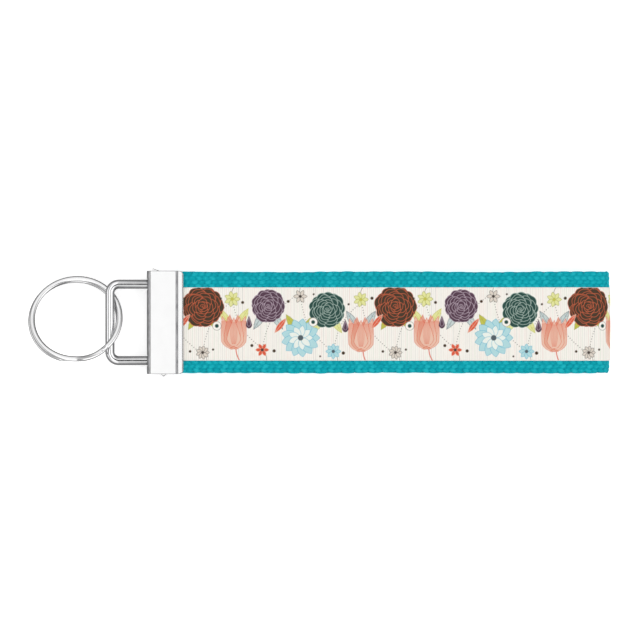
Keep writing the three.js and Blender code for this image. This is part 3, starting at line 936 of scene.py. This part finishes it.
def make_bail():
    """A rectangle of round wire, open at the butt joint hidden in the clamp."""
    wire = 2.9 * MM
    half_span = 11.9 * MM  # from the middle to the middle of each arm
    near, far = 2.0 * MM, 2.75 * MM  # radii of the corners in the clamp and at the free bar
    half_gap = 0.2 * MM
    hinge, free_bar = pivot["bail_swing"], pivot["ring_swing"]
    out = free_bar - hinge
    reach = out.length
    out.normalize()
    normal = Vector((0, 1, 0)).cross(out) * -1
    line = [(0.0, half_gap)]

    line += arc(near, half_span - near, near, 180, 90, 15)
    line += arc(reach - far, half_span - far, far, 90, 0, 15)
    line += arc(reach - far, far - half_span, far, 0, -90, 15)
    line += arc(near, near - half_span, near, -90, -180, 15)
    line.append((0.0, -half_gap))
    path = np.array(line)
    ahead = np.gradient(path, axis=0)
    ahead /= np.linalg.norm(ahead, axis=1)[:, None]
    section = np.linspace(0, 2 * np.pi, 28, endpoint=False)
    across = wire / 2 * np.cos(section)
    lift = wire / 2 * np.sin(section)
    x = path[:, 0, None] - ahead[:, 1, None] * across
    y = path[:, 1, None] + ahead[:, 0, None] * across
    points = (
        np.array(hinge)
        + x[..., None] * np.array(out)
        + y[..., None] * np.array((0, 1, 0))
        + np.broadcast_to(lift, x.shape)[..., None] * np.array(normal)
    )
    obj = loft("bail_wire", points, bail_plate, 60)
    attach(obj, "bail")
    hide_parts("bail")


# ---- Clamp -------------------------------------------------------------------------------------


def prism(name, points, low, high, upright):
    """A closed prism on an outline, along Z if upright and along Y if not."""
    count = len(points)
    if upright:
        rings = [[(x, y, z) for x, y in points] for z in (low, high)]
    else:
        rings = [[(x, y, z) for x, z in points] for y in (low, high)]
    return new_object(name, rings[0] + rings[1], loft_faces(2, count), clamp_plate)


def combine(base, tool, operation):
    cut = base.modifiers.new("cut", "BOOLEAN")
    cut.operation = operation
    cut.object = tool
    cut.solver = "EXACT"
    apply_modifiers(base)
    bpy.data.objects.remove(tool)


def apply_modifiers(obj):
    graph = bpy.context.evaluated_depsgraph_get()
    mesh = bpy.data.meshes.new_from_object(obj.evaluated_get(graph))
    obj.modifiers.clear()
    obj.data = mesh


CLAMP_LENGTH, CLAMP_HALF_HIGH, PLATE = 11.4 * MM, 3.15 * MM, 1.0 * MM
CLAMP_SIDE = 16.05 * MM  # from the middle to the clamp's ends
CLAMP_BEND = 1.5 * MM  # outer radius at the spine
LIP_DROP, LIP_EDGE = 0.3 * MM, 0.22 * MM
GROOVE_HALF, GROOVE_FLOOR, GROOVE_DEEP = 0.40 * MM, 0.14 * MM, 0.45 * MM
CROWN_FROM, CROWN_TO, CROWN = 3.4 * MM, 6.0 * MM, 0.02 * MM  # the plate's slight crown
CLAMP_CORNER = 1.3 * MM  # radius of the corners at the mouth
SLOT_FROM, SLOT_TO = 10.1 * MM, 13.6 * MM  # the bail's slots, across the strap
TEETH, TOOTH_PITCH, TOOTH_HALF = 13, 2.3 * MM, 0.7 * MM


def clamp_outline():
    """The clamp's section: x from the spine, z from the middle plane."""
    lip, inner, inside = CLAMP_HALF_HIGH - LIP_DROP, CLAMP_HALF_HIGH - PLATE, CLAMP_BEND - PLATE
    crown = CLAMP_HALF_HIGH + CROWN
    upper = [(CLAMP_LENGTH, inner)]
    upper += arc(CLAMP_LENGTH - LIP_EDGE, lip - LIP_EDGE, LIP_EDGE, 0, 90, 6)
    upper += [
        (CLAMP_GROOVE + GROOVE_HALF, lip),
        (CLAMP_GROOVE + GROOVE_FLOOR, lip - GROOVE_DEEP),
        (CLAMP_GROOVE - GROOVE_FLOOR, lip - GROOVE_DEEP),
        (CLAMP_GROOVE - GROOVE_HALF, CLAMP_HALF_HIGH),
    ]
    upper += [(CROWN_TO, crown), (CROWN_FROM, crown)]
    upper += arc(CLAMP_BEND, CLAMP_HALF_HIGH - CLAMP_BEND, CLAMP_BEND, 90, 180, 12)
    lower = [(x, -z) for x, z in reversed(upper)]
    hollow = arc(PLATE + inside, inside - inner, inside, 270, 180, 6)
    hollow += [(x, -z) for x, z in reversed(hollow)]
    return upper + lower + hollow


def clamp_plan(tabs):
    """One plate of the clamp from above, with a pointed tab and a hooked one if it has tabs."""
    side, corner = CLAMP_SIDE, CLAMP_CORNER
    behind = -1 * MM  # past the spine, to be cut off by the section
    plan = [(behind, side), (behind, -side)]
    if tabs:
        plan += [(3.9 * MM, -side), (5.0 * MM, -side - 0.9 * MM), (6.1 * MM, -side)]
    plan += arc(CLAMP_LENGTH - corner, corner - side, corner, -90, 0)
    plan += arc(CLAMP_LENGTH - corner, side - corner, corner, 0, 90)
    if tabs:
        hook = [(3.9, 0), (3.6, 0.15), (1.5, 0.9), (1.4, 0)]
        plan += [(x * MM, side + y * MM) for x, y in hook]
    return plan


def mark_rim(clamp):
    """Marks the edges where the clamp's outer face meets its two ends, for a wide bevel."""
    work = bmesh.new()
    work.from_mesh(clamp.data)
    weight = work.edges.layers.float.new("bevel_weight_edge")
    for edge in work.edges:
        ends = sorted(abs(face.normal.y) for face in edge.link_faces)
        outer = min(abs(vert.co.z) for vert in edge.verts) > CLAMP_HALF_HIGH - PLATE + 0.15 * MM
        on_tab = max(abs(vert.co.y) for vert in edge.verts) > CLAMP_SIDE + 0.05 * MM
        edge[weight] = float(len(ends) == 2 and ends[0] < 0.3 < ends[1] and (outer or on_tab))
    work.to_mesh(clamp.data)
    work.free()


def make_clamp():
    """A U of sheet steel: pressed lip, groove, teeth, slots for the bail and two rear tabs."""
    wide = 18 * MM
    clamp = prism("clamp_shell", clamp_outline(), -wide, wide, False)
    plans = prism("front_plan", clamp_plan(False), 0, 5 * MM, True)
    combine(plans, prism("rear_plan", clamp_plan(True), -5 * MM, 0, True), "UNION")
    combine(clamp, plans, "INTERSECT")
    for side in (-1, 1):
        low, high = sorted((side * SLOT_FROM, side * SLOT_TO))
        slot = [(-1 * MM, low), (1.5 * MM, low), (1.5 * MM, high), (-1 * MM, high)]
        combine(clamp, prism("slot", slot, -2.4 * MM, 2.4 * MM, True), "DIFFERENCE")
    mark_rim(clamp)
    for limit, width, keep_apart in (("WEIGHT", 0.24 * MM, False), ("ANGLE", 0.1 * MM, True)):
        bevel = clamp.modifiers.new("edges", "BEVEL")
        bevel.width = width
        bevel.segments = 3
        bevel.limit_method = limit
        bevel.angle_limit = math.radians(50)
        bevel.use_clamp_overlap = keep_apart
        apply_modifiers(clamp)
    for side in (-1, 1):
        for number in range(TEETH):
            y = (number - TEETH // 2) * TOOTH_PITCH
            jaw = side * 2.2 * MM
            tooth = [(9.9 * MM, jaw), (10.9 * MM, jaw), (10.4 * MM, side * 1.65 * MM)]
            combine(clamp, prism("tooth", tooth, y - TOOTH_HALF, y + TOOTH_HALF, False), "UNION")
    clamp.data.transform(Matrix.Translation((SPINE_X, 0, MID_Z)))
    clamp.data.shade_smooth()
    clamp.data.set_sharp_from_angle(angle=math.radians(32))
    weighted = clamp.modifiers.new("shading", "WEIGHTED_NORMAL")
    weighted.keep_sharp = True
    apply_modifiers(clamp)
    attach(clamp, "clamp")
    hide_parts("clamp")


# ---- Stage, light and camera -------------------------------------------------------------------

# How bright the surroundings are at each height, -1 straight down and 1 straight up.
SKY_LEVELS = [
    (-1.0, 0.30),
    (-0.3, 0.22),
    (0.05, 0.20),
    (0.22, 0.21),
    (0.38, 0.75),
    (0.55, 1.0),
    (0.8, 1.1),
    (1.0, 1.0),
]
SKY_STRENGTH = 1.56
# Dark strips in the surroundings, which the metal reflects: where they run, along x.
BOOM_X, SEAM_X = 0.27, -0.55
FLOOR_HALF, FLOOR_TOP, FLOOR_UNDER = 3.0, -0.02 * MM, -4 * MM
VIEW_WIDTH = 200.9 * MM  # how much of the scene the camera sees across
VIEW_MIDDLE = (0.55 * MM, 0.12 * MM)


def make_stage():
    signs = ((-1, -1), (1, -1), (1, 1), (-1, 1))
    corners = [(x * FLOOR_HALF, y * FLOOR_HALF) for x, y in signs]
    points = [(x, y, z) for z in (FLOOR_UNDER, FLOOR_TOP) for x, y in corners]
    floor = new_object("floor", points, loft_faces(2, 4), pale_floor())
    floor.visible_glossy = False

    world = bpy.data.worlds.new("studio")
    bpy.context.scene.world = world
    world.use_nodes = True
    made = Nodes("studio", world.node_tree)
    direction = made.add("ShaderNodeTexCoord").outputs["Generated"]
    x, y, z = made.add("ShaderNodeSeparateXYZ", {"Vector": direction}).outputs
    sideways = made.math("ABSOLUTE", y)
    # Bright overhead, darker towards the horizon and below it, where only the metal looks.
    height = made.ramp(
        made.span(z, -1, 1, 0, 1),
        [(at / 2 + 0.5, (value,) * 3) for at, value in SKY_LEVELS],
    )
    side_level = made.span(x, 0.08, 0.18, 0.76, 0.36)
    sides = made.span(sideways, 0.30, 0.62, 1, side_level)
    boom = made.math("ABSOLUTE", made.math("SUBTRACT", x, BOOM_X))
    boom = made.span(boom, 0.08, 0.13, 1, 0)
    boom = made.math("MULTIPLY", boom, made.span(sideways, 0.24, 0.40, 1.0, 0))
    seam = made.math("ABSOLUTE", made.math("SUBTRACT", x, SEAM_X))
    seam = made.span(seam, 0.14, 0.22, 0.72, 0)
    gaps = made.math("MULTIPLY", made.math("MAXIMUM", boom, seam), made.span(z, 0.5, 0.7, 0, 1))
    dimmed = made.math("MULTIPLY", sides, made.math("SUBTRACT", 1.0, gaps))
    light = made.mix(1.0, height, dimmed, "MULTIPLY")
    background = made.tree.nodes["Background"]
    made.put(background.inputs[0], light)
    background.inputs[1].default_value = SKY_STRENGTH

    camera = bpy.data.cameras.new("camera")
    camera.lens = 200
    camera.sensor_width = 36
    camera_object = bpy.data.objects.new("camera", camera)
    bpy.context.scene.collection.objects.link(camera_object)
    height = VIEW_WIDTH * camera.lens / camera.sensor_width
    camera_object.location = (*VIEW_MIDDLE, MID_Z + height)
    bpy.context.scene.camera = camera_object
    bpy.context.scene.view_settings.view_transform = "Standard"


# ---- The object --------------------------------------------------------------------------------

make_stage()
make_ring()
make_bail()
make_clamp()
for leaf, side in (("upper", 1), ("lower", -1)):
    start = STRAP_END_X
    for stretch in STRETCHES:
        make_webbing(leaf, side, start, stretch)
        make_ribbon(leaf, side, start, stretch)
        make_stitches(leaf, side, start, stretch)
        start = stretch.end
